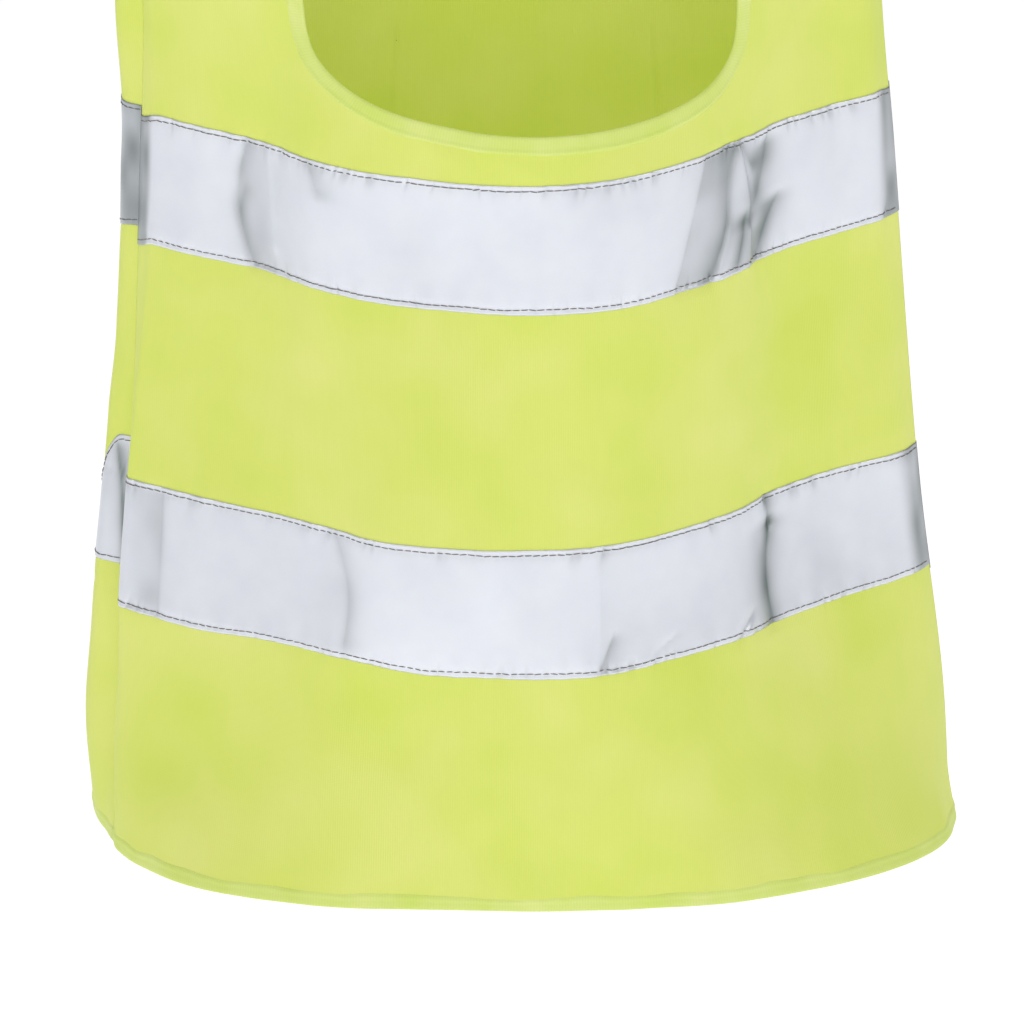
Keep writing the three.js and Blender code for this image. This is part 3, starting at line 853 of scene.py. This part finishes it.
def walk(points, pitch):
    """Evenly spaced centres and directions along a line of points."""
    length = np.concatenate([[0], np.cumsum(np.linalg.norm(np.diff(points, axis=0), axis=1))])
    at = np.arange(pitch / 2, length[-1] - pitch / 2, pitch)
    centres = np.stack([np.interp(at, length, points[:, k]) for k in range(3)], axis=1)
    ahead = np.stack([np.interp(at + 0.5, length, points[:, k]) for k in range(3)], axis=1) - centres
    return at, length, centres, ahead / np.linalg.norm(ahead, axis=1, keepdims=True)


def stitch_row(side, side_name, level, row):
    offset = STITCH_INSET if row == "bottom" else TAPE_WIDTH - STITCH_INSET
    steps = np.linspace(0, 30, STITCH_SAMPLES)
    wander = 0.22 * value_noise(41 + side, steps, np.full(STITCH_SAMPLES, offset + len(level)))
    across = np.linspace(-0.998, 0.998, STITCH_SAMPLES)
    height = tape_height(side, level, offset + wander, across)
    top = place(side, across, height / SPRING, np.full(across.shape, THREAD_LIFT))
    below = place(side, across, height / SPRING, np.full(across.shape, 0.0))
    at, length, centres, ahead = walk(top, STITCH_PITCH)
    out = np.stack([np.interp(at, length, (top - below)[:, k]) for k in range(3)], axis=1)
    out /= np.linalg.norm(out, axis=1, keepdims=True)
    obj = stitches(centres, ahead, out, f"{side_name}_{level}_tape_{row}_thread")
    return finish_piece(obj, "thread", stands_for=[f"{side_name}_{level}_tape_{row}_stitch"])


for side, side_name in ((FRONT, "front"), (BACK, "back")):
    for level in TAPE_BOTTOM:
        strip = tape(side, side_name, level)
        threads = [stitch_row(side, side_name, level, row) for row in ("bottom", "top")]

# ---- the bound edges ----


def band_profile(width, thickness):
    """The section of a folded binding, as (distance into the cloth, height above its middle): the fold is at
    nought, and a low ridge follows the inner edge."""
    ridge = BAND_RIDGE
    outer = [(0.0, 0.35), (0.35, 0.85), (1.2, 1.0), (0.5 * width, 0.95), (width - 2.2, 0.9),
             (width - 1.5, 0.95), (width - 0.9, 1.0 + ridge), (width - 0.3, 0.85 + ridge),
             (width + 0.3, 0.5), (width + 0.8, 0.2)]
    top = [(b, n * thickness) for b, n in outer]
    bottom = [(b, -n * thickness) for b, n in reversed(outer)]
    return np.array(top + bottom)


def sweep(name, path, into, out, profile, width_noise, seed):
    """A band whose section runs along a closed path. into points from the opening into the cloth."""
    length = np.concatenate([[0], np.cumsum(np.linalg.norm(np.diff(path, axis=0), axis=1))])
    swell = 1 + width_noise * value_noise(seed, length / 9 + 5, length * 0 + 0.5)
    vertices = (path[:, None] + into[:, None] * (profile[None, :, :1] * swell[:, None, None])
                + out[:, None] * profile[None, :, 1:])
    rows, columns = len(path), len(profile)
    here = np.arange(columns)
    after = (here + 1) % columns
    last_row = (rows - 1) * columns
    joining = np.stack([last_row + here, last_row + after, after, here], axis=-1)
    faces = np.vstack([grid_faces(rows, columns, closed=True), joining])
    around = np.concatenate([[0], np.cumsum(np.linalg.norm(np.diff(profile, axis=0), axis=1))])
    uvs = np.stack(np.broadcast_arrays(length[:, None], around[None, :]), axis=-1).reshape(-1, 2)
    return new_object(name, vertices.reshape(-1, 3), faces, uvs)


def smooth_closed(values, passes):
    """Rows of a closed line, smoothed by their neighbours."""
    for _ in range(passes):
        values = (np.roll(values, 1, axis=0) + 2 * values + np.roll(values, -1, axis=0)) / 4
    return values


def unit(values):
    return values / np.maximum(np.linalg.norm(values, axis=-1, keepdims=True), 1e-9)


def opening_path(outlines, spacing=1.2, margin=1.2):
    """Points round an opening, with the direction into the cloth and the direction out of it."""
    path, near, outward = [], [], []
    for side, points in outlines:
        line = catmull_rom(points, 80)
        length = np.concatenate([[0], np.cumsum(np.linalg.norm(np.diff(line, axis=0), axis=1))])
        at = np.arange(0, length[-1], spacing)
        flat = np.stack([np.interp(at, length, line[:, k]) for k in (0, 1)], axis=1)
        ahead = np.gradient(flat, axis=0)
        ahead /= np.linalg.norm(ahead, axis=1, keepdims=True)
        away = -side * np.stack([ahead[:, 1], -ahead[:, 0]], axis=1)
        across, along = find(side, flat[:, 0], flat[:, 1])
        here = place(side, across, along)
        above = place(side, across, along, np.ones(len(across)))
        across, along = find(side, *(flat + away * margin).T)
        path.append(here)
        outward.append(above - here)
        near.append(place(side, across, along) - here)
    path = smooth_closed(np.vstack(path), 3)
    outward = unit(smooth_closed(unit(np.vstack(outward)), 12))
    into = unit(smooth_closed(unit(np.vstack(near)), 12))
    into = unit(into - outward * np.sum(into * outward, axis=1, keepdims=True))
    return path, into, outward


def neck_band():
    path, into, out = opening_path([(FRONT, FRONT_NECK), (BACK, BACK_NECK)])
    profile = band_profile(NECK_BAND, BAND_HALF_THICKNESS)
    return sweep("neck_binding", path, into, out, profile, 0.05, 7)


neck = finish_piece(neck_band(), "binding", stands_for=["neck_band"])


def armhole_band(hand, hand_name):
    rising = [(hand * x, h) for x, h in ARMHOLE_EDGE]
    first, second = (BACK, FRONT) if hand > 0 else (FRONT, BACK)
    path, into, out = opening_path([(first, rising), (second, rising[::-1])])
    profile = band_profile(ARMHOLE_BAND, BAND_HALF_THICKNESS)
    obj = sweep(f"{hand_name}_armhole_binding", path, into, out, profile, 0.05, 9 + hand)
    return finish_piece(obj, "binding", stands_for=[f"{hand_name}_armhole_band"])


armholes = [armhole_band(hand, hand_name) for hand, hand_name in HANDS]


HEM_SAMPLES = 420
HEM_DIRECTION_REACH = 6.0  # the cloth this far up shows which way the band stands


def hem_band():
    across = np.linspace(-1, 1, HEM_SAMPLES)
    paths, ups, outs = [], [], []
    for side, order in ((FRONT, across), (BACK, across[::-1])):
        keep = order[:-1]
        low = place(side, keep, np.zeros(len(keep)))
        high = place(side, keep, np.full(len(keep), HEM_DIRECTION_REACH / SPRING))
        outs.append(place(side, keep, np.zeros(len(keep)), np.ones(len(keep))) - low)
        paths.append(low)
        ups.append(high - low)
    path = smooth_closed(np.vstack(paths), 2)
    out = unit(smooth_closed(unit(np.vstack(outs)), 8))
    up = unit(smooth_closed(unit(np.vstack(ups)), 4))
    profile = band_profile(HEM_BAND, HEM_HALF_THICKNESS)
    return sweep("hem_binding", path, up, out, profile, 0.18, 13)


hem = finish_piece(hem_band(), "binding", stands_for=["hem_band"])

# ---- seams inside ----

SEAM_SAMPLES = 160


def strip_between(name, outer, inner, thickness):
    """A thin strip of cloth between two lines of points."""
    points = np.stack([outer, (outer + inner) / 2, inner])
    length = np.concatenate([[0], np.cumsum(np.linalg.norm(np.diff(outer, axis=0), axis=1))])
    width = np.linalg.norm(outer - inner, axis=1).mean()
    uvs = np.stack(np.broadcast_arrays(length[None, :], np.array([0, width / 2, width])[:, None]), axis=-1)
    obj = new_object(name, points.reshape(-1, 3), grid_faces(3, outer.shape[0]), uvs.reshape(-1, 2))
    thicken(obj, thickness)
    return obj


def side_seam(hand, hand_name):
    """The panels' overlocked edges, standing inwards from the seam."""
    height = np.linspace(8, ARMHOLE_BOTTOM - 10, SEAM_SAMPLES)
    edge = smooth_place(FRONT, np.full(SEAM_SAMPLES, float(hand)), height / SPRING)
    wave = 0.8 * value_noise(23 + hand, height / 11, height * 0)
    outer = edge - np.array([hand * 1.5, 0, 0])
    inner = edge + np.stack([-hand * (SEAM_ALLOWANCE + 0.4 * wave), wave, 0 * wave], axis=1)
    obj = strip_between(f"{hand_name}_side_seam_allowance", outer, inner, SEAM_THICKNESS)
    return finish_piece(obj, "overlock", stands_for=[f"{hand_name}_side_seam"])


def shoulder_seam(hand, hand_name):
    """The panels' overlocked edges, hanging under the shoulder."""
    x = hand * np.linspace(NECK_HALF_WIDTH + 5, 122, 60)
    top = shoulder_height(x)
    outer = np.stack([x, 0 * x, top - 0.7], axis=1)
    wave = 0.5 * value_noise(29, x / 7 + 40, x * 0)
    inner = np.stack([x, 3 + wave, top - 6.5], axis=1)
    obj = strip_between(f"{hand_name}_shoulder_seam_allowance", outer, inner, SEAM_THICKNESS)
    return finish_piece(obj, "overlock", stands_for=[f"{hand_name}_shoulder_seam"])


for make_seam in (side_seam, shoulder_seam):
    for hand, hand_name in HANDS:
        make_seam(hand, hand_name)

# ---- labels ----

LABEL_STEPS = 24


def label(name, node, body, bend):
    """A woven ribbon in the space of its CAD plate, with a slight bend away from its sewn edge."""
    low, high = (np.array(corner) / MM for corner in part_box(node))
    low[2] += TOTAL_LENGTH
    high[2] += TOTAL_LENGTH
    steps = np.linspace(0, 1, LABEL_STEPS)
    s, t = np.meshgrid(steps, steps)
    x = low[0] + s * (high[0] - low[0])
    z = low[2] + t * (high[2] - low[2])
    y = (low[1] + high[1]) / 2 + bend(s, t)
    points = np.stack([x, y, z], axis=-1)
    uvs = np.stack([x, z], axis=-1).reshape(-1, 2)
    obj = new_object(name, points.reshape(-1, 3), grid_faces(LABEL_STEPS, LABEL_STEPS), uvs)
    thicken(obj, LABEL_THICKNESS)
    return finish_piece(obj, "label", body=body, stands_for=[node])


size_label = label("size_label_ribbon", "size_label", "size_label_flap",
                   lambda s, t: -1.2 * (1 - t) ** 2 + 0.25 * np.sin(s * math.pi))
care_label = label("care_label_ribbon", "care_label", "care_label_flap",
                   lambda s, t: 1.5 * (1 - s) ** 2 * np.sin(t * 2.5) - 0.6 * (1 - s))

# ---- stage, light and camera ----

FLOOR_DEPTH = 1.15
FLOOR_REACH = 30.0
FLOOR_GLOW = 0.55
WORLD_STRENGTH = 0.34
LIGHT_TARGET = (0, 0, -0.28)
SOFTBOXES = (  # name, place, side in metres and watts
    ("front_softbox", (-0.3, -2.6, 0.9), 2.0, 15),
    ("left_softbox", (2.2, -1.2, 0.6), 1.2, 11),
    ("right_softbox", (-2.2, -1.2, 0.6), 1.2, 10),
    ("back_softbox", (0.3, 2.6, 0.9), 2.0, 12),
    ("top_softbox", (0.0, 0.4, 2.2), 2.4, 12),
)
CAMERA_AZIMUTH = -6.0
CAMERA_ELEVATION = 20.0
CAMERA_DISTANCE = 9.0
FRAME_WIDTH = 0.3758  # how much of the garment the picture spans, in metres
CAMERA_TARGET = (0.0026, 0.0, -0.3667)


def make_stage():
    mesh = bpy.data.meshes.new("floor")
    r = FLOOR_REACH
    corners = [(-r, -r), (r, -r), (r, r), (-r, r)]
    mesh.from_pydata([(x, y, -FLOOR_DEPTH) for x, y in corners], [], [(0, 1, 2, 3)])
    floor = bpy.data.objects.new("floor", mesh)
    bpy.context.scene.collection.objects.link(floor)
    n = Nodes("pale_floor")
    n.shader.inputs["Base Color"].default_value = (0.9, 0.9, 0.9, 1)
    n.shader.inputs["Emission Color"].default_value = (1, 1, 1, 1)
    set_shader(n, Roughness=0.9, Emission_Strength=FLOOR_GLOW)
    mesh.materials.append(n.material)


def softbox(name, location, side, watts):
    data = bpy.data.lights.new(name, "AREA")
    data.shape = "SQUARE"
    data.size = side
    data.energy = watts
    obj = bpy.data.objects.new(name, data)
    obj.location = location
    obj.rotation_euler = (Vector(LIGHT_TARGET) - Vector(location)).to_track_quat("-Z", "Y").to_euler()
    bpy.context.scene.collection.objects.link(obj)


def make_world():
    world = bpy.data.worlds.new("soft_studio")
    world.use_nodes = True
    background = world.node_tree.nodes["Background"]
    background.inputs["Color"].default_value = (0.97, 0.985, 1.0, 1)
    background.inputs["Strength"].default_value = WORLD_STRENGTH
    bpy.context.scene.world = world


def make_camera():
    a, e = math.radians(CAMERA_AZIMUTH), math.radians(CAMERA_ELEVATION)
    back = Vector((math.sin(a) * math.cos(e), -math.cos(a) * math.cos(e), math.sin(e)))
    data = bpy.data.cameras.new("camera")
    data.sensor_width = 36.0
    data.lens = data.sensor_width * CAMERA_DISTANCE / FRAME_WIDTH
    data.clip_end = 100
    camera = bpy.data.objects.new("camera", data)
    camera.location = Vector(CAMERA_TARGET) + back * CAMERA_DISTANCE
    camera.rotation_euler = (-back).to_track_quat("-Z", "Y").to_euler()
    bpy.context.scene.collection.objects.link(camera)
    bpy.context.scene.camera = camera


make_stage()
make_world()
for box in SOFTBOXES:
    softbox(*box)
make_camera()
bpy.context.scene.view_settings.view_transform = "Standard"

bpy.context.view_layer.update()
